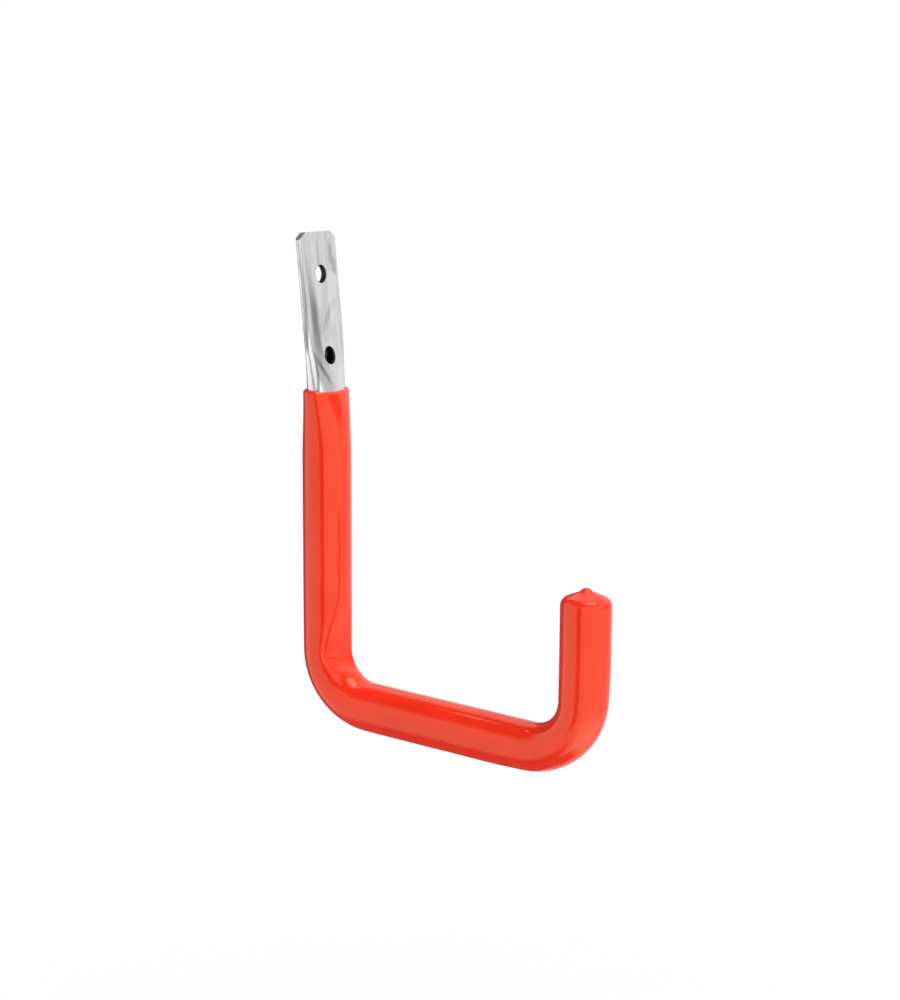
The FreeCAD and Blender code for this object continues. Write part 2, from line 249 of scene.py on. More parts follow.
near_turn = math.pi / 2 - ARM_SLOPE
far_turn = math.pi / 2 + ARM_SLOPE
near_tangent = BEND_RADIUS * math.tan(near_turn / 2)
far_tangent = BEND_RADIUS * math.tan(far_turn / 2)
FLAT_RUN = TAB_LENGTH / math.cos(TAB_LEAN)
SHANK_START = FLAT_RUN + lean_radius * TAB_LEAN
NEAR_START = SHANK_START + (FLAT_FOOT - LEAN_LENGTH) - (NEAR_CORNER_Z + near_tangent)
NEAR_END = NEAR_START + BEND_RADIUS * near_turn
FAR_START = NEAR_END + ARM_LENGTH / math.cos(ARM_SLOPE) - near_tangent - far_tangent
FAR_END = FAR_START + BEND_RADIUS * far_turn
MOUTH = FAR_END + LIP_LENGTH - far_tangent
COAT_TOP = SHANK_START + (FLAT_FOOT - LEAN_LENGTH) - COAT_EDGE
bends = (NEAR_START, NEAR_END, FAR_START, FAR_END)
print("along the line, mm: bends at", [round(at / MM, 1) for at in bends])
print("mouth at", round(MOUTH / MM, 1), "and coat edge at", round(COAT_TOP / MM, 1))

# %% [markdown]
# The rule of the cross-section
# A pressed tube keeps its length of metal round the section: what the press takes from the
# height comes out at the sides. The rule draws each section as an oval of four arcs. Two side
# arcs become the folds of the tab and two face arcs become its flat walls. Where the bender
# pulls the tube round a corner the outer wall draws in a little. Beside the first bend its
# block has pressed a flat into the inner side, which deepens towards the corner and then
# runs out. The rule does both, and a smooth minimum keeps the flat's edge round.
# The tree takes a profile, which is a row of points (way along the line, offset from the tube's
# skin, waviness), and lays one ring of the oval for each point. Spinning a profile would only
# give round tubes, and a loft of hand-made rings would hide the rule, so a grid of points is
# placed by the formula instead. Its seam is merged before the waviness is laid on, because
# points that meet there would otherwise be pushed along two different normals and drift apart.

# %% A tree that sweeps the cross-section along the line
def add_inputs(tree, inputs):
    for name, kind in inputs:
        tree.interface.new_socket(name, in_out="INPUT", socket_type=f"NodeSocket{kind}")
    tree.interface.new_socket("Geometry", in_out="OUTPUT", socket_type="NodeSocketGeometry")


SKIN_INPUTS = [
    ("Profile", "Geometry"),
    ("Line", "Object"),
    ("Steps Around", "Int"),
    ("Tube Radius", "Float"),
    ("Tab Half Thickness", "Float"),
    ("Tab Spread", "Float"),
    ("Flat Foot", "Float"),
    ("Flare Length", "Float"),
    ("Near Bend At", "Float"),
    ("Near Drawn In", "Float"),
    ("Far Bend At", "Float"),
    ("Far Drawn In", "Float"),
    ("Bend Reach", "Float"),
    ("Dent From", "Float"),
    ("Dent Full", "Float"),
    ("Dent End", "Float"),
    ("Dent Depth", "Float"),
    ("Dent Turn", "Float"),
    ("Dent Slant", "Float"),
    ("Dent Rounding", "Float"),
    ("Edge At", "Float"),
    ("Edge Tilt", "Float"),
    ("Edge Fade", "Float"),
    ("Wave Height", "Float"),
    ("Wave Scale", "Float"),
    ("Seed", "Float"),
    ("Material", "Material"),
]
NEARLY_FLAT = math.radians(89.3)
QUARTER = math.pi / 2
ARCS = 4
FOLD_POWER = 1.5
CORNER_STEPS = 72
WAVE_TOP = 0.8
SEAM_GAP = 0.004 * MM


def oval_skin(bench, given):
    """Places of the grid's points, from the rule of the cross-section."""
    # which point of which ring this is, and what the profile says of the ring
    index = bench.node("GeometryNodeInputIndex")
    around = given("Steps Around") + 1
    row = ((index + 0.5) / around).floor()
    column = index - row * around
    place = bench.node("GeometryNodeInputPosition")
    sample = {"Geometry": given("Profile"), "Value": place, "Index": row}
    profile = bench.node("GeometryNodeSampleIndex", {"data_type": "FLOAT_VECTOR"}, sample)
    level = bench.node("ShaderNodeSeparateXYZ", None, {0: profile})
    offset = level.beside("Y")
    wave = level.beside("Z")
    quarters = column / given("Steps Around") * ARCS

    # the dipped edge hangs lower on the inner side, and the tilt fades along the line
    from_edge = (level - given("Edge At")) / given("Edge Fade")
    inner_side = ((quarters - 0.5) * QUARTER).sin()
    along = level + inner_side * given("Edge Tilt") * (1 - from_edge.rise(0.0, 1.0))

    # the ring's middle on the line, and the direction towards the inner side of the hook
    line = bench.node("GeometryNodeObjectInfo", None, {"Object": given("Line")}, "Geometry")
    corner = bench.node("GeometryNodeInputRadius")
    rounding = {"Curve": line, "Count": CORNER_STEPS, "Radius": corner}
    rounded = bench.node("GeometryNodeFilletCurve", {"mode": "POLY"}, rounding)
    way = {"Curves": rounded, "Length": along}
    centre = bench.node("GeometryNodeSampleCurve", {"mode": "LENGTH"}, way, "Position")
    inward = bench.vector("CROSS_PRODUCT", centre.beside("Tangent"), (1.0, 0.0, 0.0))
    height = bench.node("ShaderNodeSeparateXYZ", None, {0: centre}, "Z")

    # how far the press has flattened the tube here
    share = ((given("Flat Foot") - height) / given("Flare Length")).at_least(0.0).at_most(1.0)
    flatness = 1 - share.rise(0.0, 1.0)
    pressed = (given("Tube Radius") - given("Tab Half Thickness")) * flatness
    half_height = given("Tube Radius") - pressed
    half_width = given("Tube Radius") + pressed * (QUARTER - 1) + given("Tab Spread") / 2 * flatness

    def swell(middle, reach):
        """1 at a place on the line, and smoothly 0 beyond its reach."""
        away = ((along - given(middle)).size() / given(reach)).at_most(1.0)
        return (away * QUARTER).cos() ** 2

    near_draw = swell("Near Bend At", "Bend Reach") * given("Near Drawn In")
    draw = near_draw + swell("Far Bend At", "Bend Reach") * given("Far Drawn In")
    half_height = half_height - draw / 2
    half_width = half_width + draw / 4

    # a point on one of the four arcs
    meeting = (QUARTER - QUARTER / 2 * share ** FOLD_POWER).at_most(NEARLY_FLAT)
    gain = (half_width - half_height) / (meeting.cos() + meeting.sin() - 1)
    side_radius = half_width - gain * meeting.cos() + offset
    arc = quarters.floor()
    face = arc % 2
    half_arc = face * (QUARTER - meeting) + (1 - face) * meeting
    angle = arc * QUARTER + half_arc * ((quarters - arc) * 2 - 1)
    arc_radius = side_radius + gain * face
    across = gain * meeting.cos() * (arc * QUARTER).cos() + arc_radius * angle.cos()
    inside = arc_radius * angle.sin() - gain * meeting.sin() * (arc * QUARTER).sin() + draw / 2

    # the dent, as a slanting plane that the oval may not pass
    slanted = along - given("Dent Slant") * (across + half_width)
    deepening = along.rise(given("Dent From"), given("Dent Full"))
    dent = deepening * (1 - slanted.rise(given("Dent Full"), given("Dent End")))
    soft = given("Dent Rounding")
    limit = half_height + offset + soft * (1 - dent) - dent * given("Dent Depth")
    turn = deepening * given("Dent Turn")
    facing = inside * turn.cos() - across * turn.sin()
    push = facing.sum("SMOOTH_MIN", facing, limit, soft) - facing
    inside = inside + push * turn.cos()
    across = across - push * turn.sin()

    step_in = bench.node("ShaderNodeVectorMath", {"operation": "SCALE"}, {0: inward, "Scale": inside})
    step_across = bench.node("ShaderNodeCombineXYZ", None, {0: across})
    skin = bench.vector("ADD", centre, bench.vector("ADD", step_in, step_across))
    return skin, wave


def build_tube_skin():
    tree = bpy.data.node_groups.new("tube skin", "GeometryNodeTree")
    add_inputs(tree, SKIN_INPUTS)
    bench = Bench(tree)
    group = bench.node("NodeGroupInput")
    given = group.beside
    rows = {"Geometry": given("Profile")}
    count = bench.node("GeometryNodeAttributeDomainSize", {"component": "MESH"}, rows, "Point Count")
    corners = {"Vertices X": count, "Vertices Y": given("Steps Around") + 1}
    grid = bench.node("GeometryNodeMeshGrid", None, corners, "Mesh")
    skin, wave = oval_skin(bench, given)
    shaped = bench.node("GeometryNodeSetPosition", None, {"Geometry": grid, "Position": skin})
    noted = {"Geometry": shaped, "Name": "waviness", "Value": wave}
    marked = bench.node("GeometryNodeStoreNamedAttribute", {"data_type": "FLOAT", "domain": "POINT"}, noted)
    closed = bench.node("GeometryNodeMergeByDistance", None, {"Geometry": marked, "Distance": SEAM_GAP})
    waviness = bench.node("GeometryNodeInputNamedAttribute", {"data_type": "FLOAT"}, {"Name": "waviness"})
    pattern = {"W": given("Seed"), "Scale": given("Wave Scale"), "Detail": 1.0}
    noise = bench.node("ShaderNodeTexNoise", {"noise_dimensions": "4D"}, pattern)
    lift = (noise - WAVE_TOP) * 2 * given("Wave Height") * waviness.at_least(0.0)
    normal = bench.node("GeometryNodeInputNormal")
    bump = bench.node("ShaderNodeVectorMath", {"operation": "SCALE"}, {0: normal, "Scale": lift})
    waved = bench.node("GeometryNodeSetPosition", None, {"Geometry": closed, "Offset": bump})
    real = bench.node("GeometryNodeRealizeInstances", None, {0: waved})
    finish = {"Geometry": real, "Material": given("Material")}
    finished = bench.node("GeometryNodeSetMaterial", None, finish)
    bench.node("NodeGroupOutput", None, {0: finished})
    return tree


tube_skin = build_tube_skin()
print("tube skin tree has", len(tube_skin.nodes), "nodes")

# %% [markdown]
# From profile to piece
# A profile becomes a piece in four moves: make a bare mesh of its points, hang the tree on it,
# read the evaluated mesh back, and take the tree away again. The result is plain geometry at the
# origin that any other program can open.

# %% Helpers that turn a profile into a closed mesh
def set_input(modifier, name, value):
    for item in modifier.node_group.interface.items_tree:
        if item.item_type == "SOCKET" and item.in_out == "INPUT" and item.name == name:
            modifier[item.identifier] = value


def grow(piece, tree, inputs):
    """Runs one tree on a piece and keeps the result as plain mesh."""
    modifier = piece.modifiers.new(tree.name, "NODES")
    modifier.node_group = tree
    for name, value in inputs.items():
        set_input(modifier, name, value)
    evaluated = piece.evaluated_get(bpy.context.evaluated_depsgraph_get())
    mesh = bpy.data.meshes.new_from_object(evaluated)
    piece.modifiers.clear()
    piece.data = mesh


def finish_mesh(piece, sharp_angle):
    """Turns every face outwards, and keeps only true edges sharp."""
    work = bmesh.new()
    work.from_mesh(piece.data)
    if work.calc_volume(signed=True) < 0:
        bmesh.ops.reverse_faces(work, faces=work.faces)
    open_edges = sum(not edge.is_manifold for edge in work.edges)
    work.to_mesh(piece.data)
    volume = work.calc_volume(signed=True)
    work.free()
    piece.data.shade_smooth()
    piece.data.set_sharp_from_angle(angle=sharp_angle)
    count = len(piece.data.polygons)
    print(piece.name, count, "faces,", open_edges, "open edges,", round(volume / MM ** 3), "mm3")


def new_piece(name, profile):
    mesh = bpy.data.meshes.new(name)
    mesh.from_pydata(profile, [], [])
    piece = bpy.data.objects.new(name, mesh)
    scene.collection.objects.link(piece)
    return piece


def steps(start, end, length):
    """Evenly spaced values from start up to, but not at, end."""
    count = max(1, round(abs(end - start) / length))
    return [start + (end - start) * step / count for step in range(count)]


def arc(centre, radius, start, end, count):
    """Points on an arc in a profile; angles in degrees, 0 along the line and 90 away from it."""
    angles = [math.radians(start + (end - start) * step / count) for step in range(count)]
    return [(centre[0] + radius * math.cos(a), centre[1] + radius * math.sin(a)) for a in angles]


SWEEP = {
    "Line": tube_line,
    "Tube Radius": TUBE_RADIUS,
    "Tab Half Thickness": TAB_HALF_THICKNESS,
    "Tab Spread": TAB_SPREAD,
    "Flat Foot": FLAT_FOOT,
    "Flare Length": FLARE_LENGTH,
    "Near Bend At": (NEAR_START + NEAR_END) / 2,
    "Near Drawn In": 0.3 * MM,
    "Far Bend At": (FAR_START + FAR_END) / 2,
    "Far Drawn In": 1.1 * MM,
    "Bend Reach": 32.0 * MM,
    "Dent From": NEAR_START - 36.0 * MM,
    "Dent Full": NEAR_START + 1.0 * MM,
    "Dent End": NEAR_START + 17.0 * MM,
    "Dent Slant": 0.7,
    "Dent Depth": 3.2 * MM,
    "Dent Turn": math.radians(18.0),
    "Dent Rounding": 2.4 * MM,
    "Edge At": COAT_TOP,
    "Edge Tilt": 0.75 * MM,
    "Edge Fade": 25.0 * MM,
}
print("sweep inputs", len(SWEEP))

# %% [markdown]
# The vinyl coat's finish
# Dipped vinyl is a bright orange red, glossy like wet paint, and never quite even: the liquid
# ran a little before it set. The colour therefore drifts slowly over the surface, the gloss is
# broken by a soft unevenness, and a very fine bump stands for the skin that forms as it cools.
# The patterns read Object coordinates, so they stay on the piece when it is turned.

# %% Vinyl
def new_material(name):
    material = bpy.data.materials.new(name)
    material.use_nodes = True
    material.node_tree.nodes.clear()
    return material, Bench(material.node_tree)


def noise(bench, place, scale, detail=2.0, stretch=(1.0, 1.0, 1.0)):
    spread = bench.node("ShaderNodeMapping", None, {"Vector": place, "Scale": stretch})
    return bench.node("ShaderNodeTexNoise", None, {"Vector": spread, "Scale": scale, "Detail": detail})


VINYL_RED = (0.88, 0.030, 0.010, 1.0)
VINYL_DEEP = (0.82, 0.023, 0.008, 1.0)
WARM_GLOSS = (1.0, 0.95, 0.58, 1.0)
vinyl, bench = new_material("dipped_red_vinyl")
place = bench.node("ShaderNodeTexCoord", None, None, "Object")
drift = noise(bench, place, 60.0, 2.0, (1.0, 1.0, 0.4)).rise(0.35, 0.7)
colour = bench.mix(drift, VINYL_RED, VINYL_DEEP)
unevenness = noise(bench, place, 220.0, 3.0)
fine = noise(bench, place, 900.0, 2.0)
relief = unevenness * 0.7 + fine * 0.3
ripple = bench.node("ShaderNodeBump", None, {"Strength": 0.05, "Distance": 0.3 * MM, "Height": relief})
surface = bench.node(
    "ShaderNodeBsdfPrincipled",
    None,
    {
        "Base Color": colour,
        "Roughness": 0.09 + 0.07 * unevenness,
        "IOR": 1.5,
        "Specular IOR Level": 0.62,
        "Specular Tint": WARM_GLOSS,
        "Normal": ripple,
    },
)
bench.node("ShaderNodeOutputMaterial", None, {"Surface": surface})
print("vinyl nodes", len(vinyl.node_tree.nodes))

# %% [markdown]
# The vinyl coat
# Its profile starts at the top of the drip, runs down the cap, over the rim and along the whole J
# to the bevelled edge under the screw holes, and comes back along the steel to close the shell.
# The hook hung a little askew over the bath, so the edge lies lower on its inner side.

# %% Vinyl coat
CAP_SHOULDER = 3.6 * MM
CAP_THICKNESS = 1.8 * MM
CAP_CONE = math.radians(22.0)
DRIP_RADIUS = 2.6 * MM
DRIP_FOOT_RADIUS = 4.0 * MM
DRIP_SIDE = math.radians(46.0)
COAT_RADIUS = TUBE_RADIUS + COAT_THICKNESS
BEVEL_OUT = 0.6 * MM
BEVEL_IN = 0.4 * MM
BEVEL_FOOT = 0.3 * MM
BEVEL_START = 0.55 * MM
COAT_STEP = 1.5 * MM
DENT_STEP = 0.7 * MM
HIDDEN_STEP = 2.5 * MM
DRIP_STEPS = 10
FOOT_STEPS = 8
CONE_STEPS = 4
SHOULDER_STEPS = 10
BEVEL_STEPS = 5
EDGE_WAVINESS = 0.3
COAT_SHARP = math.radians(50)
cap_start = CAP_THICKNESS - CAP_SHOULDER * math.cos(CAP_CONE)
rim = COAT_RADIUS - CAP_SHOULDER * (1 - math.sin(CAP_CONE))
rim_height = cap_start + CAP_SHOULDER * math.cos(CAP_CONE)
waist = DRIP_RADIUS * math.sin(DRIP_SIDE)
foot = waist + DRIP_FOOT_RADIUS * (math.sin(DRIP_SIDE) - math.sin(CAP_CONE))
foot_height = rim_height + (rim - foot) * math.tan(CAP_CONE)
waist_height = foot_height + DRIP_FOOT_RADIUS * (math.cos(CAP_CONE) - math.cos(DRIP_SIDE))
peak_height = waist_height + DRIP_RADIUS * (1 - math.cos(DRIP_SIDE))
side = math.degrees(DRIP_SIDE)
cone = math.degrees(CAP_CONE)
hollow = (
    waist_height + DRIP_FOOT_RADIUS * math.cos(DRIP_SIDE),
    waist + DRIP_FOOT_RADIUS * math.sin(DRIP_SIDE),
)
cone_shares = [step / CONE_STEPS for step in range(CONE_STEPS)]
fall = rim_height - foot_height
cap = arc((peak_height - DRIP_RADIUS, 0.0), DRIP_RADIUS, 0, side, DRIP_STEPS)
cap += arc(hollow, DRIP_FOOT_RADIUS, 180 + side, 180 + cone, FOOT_STEPS)
cap += [(foot_height + fall * share, foot + (rim - foot) * share) for share in cone_shares]
cap += arc((cap_start, COAT_RADIUS - CAP_SHOULDER), CAP_SHOULDER, cone, 90, SHOULDER_STEPS)
coat_profile = [(MOUTH + height, radius - TUBE_RADIUS, 1.0) for height, radius in cap]
slant = math.sin(math.pi / 4)
bevel = COAT_THICKNESS - BEVEL_OUT * (1 - slant) - BEVEL_START - BEVEL_IN * slant
edge_start = COAT_TOP + BEVEL_IN * (1 - slant) + bevel + BEVEL_OUT * slant
outside = steps(MOUTH + cap_start, NEAR_END, COAT_STEP)
outside += steps(NEAR_END, SWEEP["Dent From"], DENT_STEP)
outside += steps(SWEEP["Dent From"], edge_start, COAT_STEP)
coat_profile += [(at, COAT_THICKNESS, 1.0) for at in outside]
edge = arc((edge_start, COAT_THICKNESS - BEVEL_OUT), BEVEL_OUT, 90, 135, BEVEL_STEPS)
edge += arc((COAT_TOP + BEVEL_IN, BEVEL_START), BEVEL_IN, 135, 180, BEVEL_STEPS)
edge += arc((COAT_TOP + BEVEL_FOOT, BEVEL_FOOT), BEVEL_FOOT, 180, 270, BEVEL_STEPS)
coat_profile += [(at, offset, EDGE_WAVINESS) for at, offset in edge]
coat_profile += [(at, 0.0, 0.0) for at in steps(COAT_TOP + BEVEL_FOOT, MOUTH, HIDDEN_STEP)]
coat_profile += [(MOUTH, 0.0, 0.0), (MOUTH, -TUBE_RADIUS, 0.0)]
coat = new_piece("vinyl_dip_coat", coat_profile)
coat_look = {
    "Steps Around": 192,
    "Wave Height": 0.09 * MM,
    "Wave Scale": 45.0,
    "Seed": 3.0,
    "Material": vinyl,
}
grow(coat, tube_skin, {**SWEEP, **coat_look})
finish_mesh(coat, COAT_SHARP)

# %% [markdown]
# The zinc finish of the steel
# Zinc plate on pressed tube is bright but not a mirror. The press drags fine marks down the tab,
# so the gloss and the grey both change in long streaks. Noise that is stretched along Z gives
# streaks at two widths. A short list then places larger dark and light streaks one by one; they
# are painted reflections and painted highlights, and the dark lines by the fold are painted shade.
# The drilled edges and the inside of the tube are bare steel, and their colour is also darkened
# almost to black as painted shade, because they lie in shadow.

# %% Zinc
ZINC_LIGHT = (0.95, 0.95, 0.96, 1.0)
ZINC_DARK = (0.26, 0.26, 0.27, 1.0)
RAW_STEEL_IN_PAINTED_SHADE = (0.05, 0.05, 0.055, 1.0)
HOLE_RADIUS = 3.4 * MM
HOLE_SPACING = 30.6 * MM
# painted reflections, painted highlights and painted fold shade, placed one by one on the tab
PAINTED_REFLECTION_STREAKS = [
    # place across at mid height, drift per length, from height, to height, half width, depth of the painted
    # darkening (negative paints a highlight)
    (-6.6, -0.105, 32.0, -18.0, 2.0, 0.34),
    (-6.3, -0.060, 16.0, -23.0, 3.4, 0.55),
    (2.7, 0.600, 12.0, -9.0, 1.8, 0.25),
    (-1.2, 0.000, 32.0, 12.0, 1.0, 0.30),
    (7.1, 0.000, 30.0, 16.0, 1.6, 0.40),
    (9.2, 0.000, 23.0, 12.0, 1.3, 0.40),
    (-8.9, 0.000, -10.0, -42.0, 0.7, 0.85),
    (-17.0, -0.560, -12.0, -29.0, 1.2, 0.60),
    (-10.2, 0.000, -6.0, -60.0, 1.3, 0.22),
    (-11.7, 0.000, 44.0, -44.0, 0.6, 0.75),
    (5.0, 0.150, 17.0, 3.0, 3.0, -0.60),
    (-3.0, 0.000, -6.0, -16.0, 1.1, -0.40),
    (5.5, -0.100, 10.0, -6.0, 2.2, -0.25),
]
MARK_FADE = 0.4
MARK_CORE = 0.3
MARK_EDGE = 1.2
GREY_RANGE = (0.34, 0.74)
GREY_DEPTH = 0.38
HOLE_EDGE = HOLE_RADIUS * 1.04
zinc, bench = new_material("bright_zinc_plate")
place = bench.node("ShaderNodeTexCoord", None, None, "Object")
across = bench.node("ShaderNodeSeparateXYZ", None, {0: place})
height = across.beside("Z")
streaks = noise(bench, place, 420.0, 3.0, (1.0, 1.0, 0.08))
clouds = noise(bench, place, 110.0, 2.0, (1.0, 1.0, 0.25))
sway = noise(bench, place, 70.0, 2.0, (1.0, 1.0, 0.6))
wander = across / MM + (sway - 0.5) * 2
tone = (streaks * 0.5 + clouds * 0.5).rise(*GREY_RANGE) * GREY_DEPTH
# each listed streak paints a reflection or a shade line into the grey, and a lighter painted highlight
# where its depth is negative
for middle, drift, top, bottom, half_width, depth in PAINTED_REFLECTION_STREAKS:
    away = (wander - middle - height / MM * drift).size()
    fade = (top - bottom) * MARK_FADE
    reach = (height / MM).rise(bottom, bottom + fade) * (1 - (height / MM).rise(top - fade, top))
    painted_streak = 1 - away.rise(half_width * MARK_CORE, half_width * MARK_EDGE)
    tone = tone + painted_streak * reach * depth
# the drilled hole walls and the tube's inside are bare steel, and are painted almost black as painted shade
hole_away = (across ** 2 + (height.size() - HOLE_SPACING / 2) ** 2) ** 0.5
drilled = 1 - hole_away.rise(HOLE_RADIUS, HOLE_EDGE)
waviness = bench.node("ShaderNodeAttribute", {"attribute_name": "waviness"}, None, "Fac")
raw_and_painted_shade = drilled.at_least(0 - waviness)
marks = bench.node("ShaderNodeBump", None, {"Strength": 0.25, "Distance": 0.2 * MM, "Height": streaks})
plated = bench.mix(tone.at_least(0.0).at_most(1.0), ZINC_LIGHT, ZINC_DARK)
surface = bench.node(
    "ShaderNodeBsdfPrincipled",
    None,
    {
        "Base Color": bench.mix(raw_and_painted_shade, plated, RAW_STEEL_IN_PAINTED_SHADE),
        "Metallic": 1.0,
        "Roughness": 0.24 + 0.16 * streaks + 0.3 * raw_and_painted_shade,
        "Normal": marks,
    },
)
bench.node("ShaderNodeOutputMaterial", None, {"Surface": surface})
print("zinc nodes", len(zinc.node_tree.nodes))

# %% [markdown]
# The steel tube
# Its profile is a closed loop: up the outside from the open mouth, over the cut end of the tab, and
# back down the inside, where the slit between the pressed walls opens into the round bore. Only
# the coat's edge is tilted, so the steel takes no tilt and its end stays square.

# %% Steel tube, before drilling
RIM_ROUNDING = 0.2 * MM
RIM_STEPS = 4
STEEL_STEP = 1.2 * MM
STEEL_SHARP = math.radians(35)
FINE_UNDER_COAT = 12.0 * MM
covered = COAT_TOP + FINE_UNDER_COAT
outside = [(at, 0.0, 0.0) for at in steps(MOUTH, covered, HIDDEN_STEP)]
outside += [(at, 0.0, 1.0) for at in steps(covered, RIM_ROUNDING, STEEL_STEP)]
rim_out = arc((RIM_ROUNDING, -RIM_ROUNDING), RIM_ROUNDING, 90, 180, RIM_STEPS)
rim_in = arc((RIM_ROUNDING, -TUBE_WALL + RIM_ROUNDING), RIM_ROUNDING, 180, 270, RIM_STEPS)
rim_points = [(at, offset, 0.0) for at, offset in rim_out + rim_in]
inside = [(at, -TUBE_WALL, -1.0) for at in steps(RIM_ROUNDING, MOUTH, HIDDEN_STEP)]
steel_profile = outside + rim_points + inside + [(MOUTH, -TUBE_WALL, 0.0), (MOUTH, 0.0, 0.0)]
steel = new_piece("pressed_steel_tube", steel_profile)
steel_look = {
    "Steps Around": 96,
    "Edge Tilt": 0.0,
    "Wave Height": 0.05 * MM,
    "Wave Scale": 60.0,
    "Seed": 8.0,
    "Material": zinc,
}
grow(steel, tube_skin, {**SWEEP, **steel_look})
print("steel", len(steel.data.vertices), "points before drilling")

# %% [markdown]
# Drilling the holes and clipping the corners
# Two screw holes go level through both walls, and a shear takes off the tab's top corners. The same
# drill is set twice on a short row of points, and the shear twice, once for each side. Mesh
# Boolean then cuts them from the closed tube, so the holes show the true thickness of its walls.

# %% A tree that drills and clips the tab
CUT_INPUTS = [
    ("Tube", "Geometry"),
    ("Hole Radius", "Float"),
    ("Hole Spacing", "Float"),
    ("Cut Depth", "Float"),
    ("Clip Place", "Float"),
    ("Clip Height", "Float"),
    ("Clip Angle", "Float"),
    ("Clip Size", "Float"),
    ("Material", "Material"),
]
DRILL_SIDES = 64
CUT_DEPTH = 60.0 * MM


def build_drill_and_clip():
    tree = bpy.data.node_groups.new("drill and clip", "GeometryNodeTree")
    add_inputs(tree, CUT_INPUTS)
    bench = Bench(tree)
    given = bench.node("NodeGroupInput").beside
    start = bench.node("ShaderNodeCombineXYZ", None, {2: given("Hole Spacing") / -2})
    pitch = bench.node("ShaderNodeCombineXYZ", None, {2: given("Hole Spacing")})
    row = {"Count": 2, "Start Location": start, "Offset": pitch}
    places = bench.node("GeometryNodeMeshLine", {"mode": "OFFSET"}, row)
    drill = {"Vertices": DRILL_SIDES, "Radius": given("Hole Radius"), "Depth": given("Cut Depth")}
    bit = bench.node("GeometryNodeMeshCylinder", None, drill, "Mesh")
    level = {"Points": places, "Instance": bit, "Rotation": (QUARTER, 0.0, 0.0)}
    bits = bench.node("GeometryNodeInstanceOnPoints", None, level)
    cutters = bench.node("GeometryNodeJoinGeometry", None, {0: bits})
    size = given("Clip Size")
    block = {"Size": bench.node("ShaderNodeCombineXYZ", None, {0: size, 1: given("Cut Depth"), 2: size})}
    blade = bench.node("GeometryNodeMeshCube", None, block, "Mesh")
    for hand in (-1, 1):
        corner = {0: given("Clip Place") * hand, 2: given("Clip Height")}
        shift = bench.node("ShaderNodeCombineXYZ", None, corner)
        tilt = bench.node("ShaderNodeCombineXYZ", None, {1: given("Clip Angle") * hand})
        move = {"Geometry": blade, "Translation": shift, "Rotation": tilt}
        tilted = bench.node("GeometryNodeTransform", None, move)
        tree.links.new(tilted.socket, cutters.socket.node.inputs[0])
    tools = bench.node("GeometryNodeRealizeInstances", None, {0: cutters})
    cut = {"Mesh 1": given("Tube"), "Mesh 2": tools}
    drilled = bench.node("GeometryNodeMeshBoolean", {"operation": "DIFFERENCE", "solver": "EXACT"}, cut)
    real = bench.node("GeometryNodeRealizeInstances", None, {0: drilled})
    finish = {"Geometry": real, "Material": given("Material")}
    finished = bench.node("GeometryNodeSetMaterial", None, finish)
    bench.node("NodeGroupOutput", None, {0: finished})
    return tree


CORNER_WIDTH = 4.2 * MM
CORNER_HEIGHT = 2.8 * MM
BLADE = 30.0 * MM
tab_half_width = TUBE_RADIUS + (TUBE_RADIUS - TAB_HALF_THICKNESS) * (QUARTER - 1) + TAB_SPREAD / 2
clip_angle = math.atan2(CORNER_HEIGHT, CORNER_WIDTH)
clip_x = tab_half_width - CORNER_WIDTH / 2 + BLADE / 2 * math.sin(clip_angle)
clip_z = TAB_TOP - CORNER_HEIGHT / 2 + BLADE / 2 * math.cos(clip_angle)
cuts = {
    "Hole Radius": HOLE_RADIUS,
    "Hole Spacing": HOLE_SPACING,
    "Cut Depth": CUT_DEPTH,
    "Clip Place": clip_x,
    "Clip Height": clip_z,
    "Clip Angle": clip_angle,
    "Clip Size": BLADE,
    "Material": zinc,
}
grow(steel, build_drill_and_clip(), cuts)
finish_mesh(steel, STEEL_SHARP)
bpy.data.objects.remove(tube_line)

# %% [markdown]
# Telling the frame what was made
# Each dressed piece stands for one solid of the engineering model. It rides on the hook's only
# body.

# %% Ties to the engineering model
for piece, node, finish in ((coat, "vinyl_coat", "red_vinyl"), (steel, "steel_tube", "zinc_steel")):
    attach(piece, "root")
    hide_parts(node)
print("pieces tied", coat.name, steel.name)

# %% [markdown]
# The floor
# The hook hangs on a wall, so the floor lies well below it and only catches its soft shadow. It is
# matt white paper that the camera sees a little lifted, so that it meets the white background
# without an edge. A bare plane with a strong lamp on it would burn out the hook instead.

# %% Floor
FLOOR_DROP = 200.0 * MM
FLOOR_SIZE = 4.0
FLOOR_LIFT = 0.85
SHADOW_Y = -60.0 * MM
SHADOW_REACH = (0.1, 0.4)
SQUARE = ((-1, -1), (1, -1), (1, 1), (-1, 1))
floor_mesh = bpy.data.meshes.new("floor")
half = FLOOR_SIZE / 2
floor_z = cad_box[0][2] - FLOOR_DROP
floor_corners = [(half * a, half * b, floor_z) for a, b in SQUARE]
floor_mesh.from_pydata(floor_corners, [], [(0, 1, 2, 3)])
floor = bpy.data.objects.new("floor", floor_mesh)
floor.visible_glossy = False
scene.collection.objects.link(floor)
paper, bench = new_material("white_paper")
place = bench.node("ShaderNodeTexCoord", None, None, "Object")
span = {0: place, 1: (0.0, SHADOW_Y, floor_z)}
away = bench.node("ShaderNodeVectorMath", {"operation": "DISTANCE"}, span, "Value")
rays = bench.node("ShaderNodeLightPath", None, None, "Is Camera Ray")
lift = FLOOR_LIFT + (1 - FLOOR_LIFT) * away.rise(*SHADOW_REACH)
matt = bench.node("ShaderNodeBsdfDiffuse", None, {"Color": (0.9, 0.9, 0.9, 1.0)})
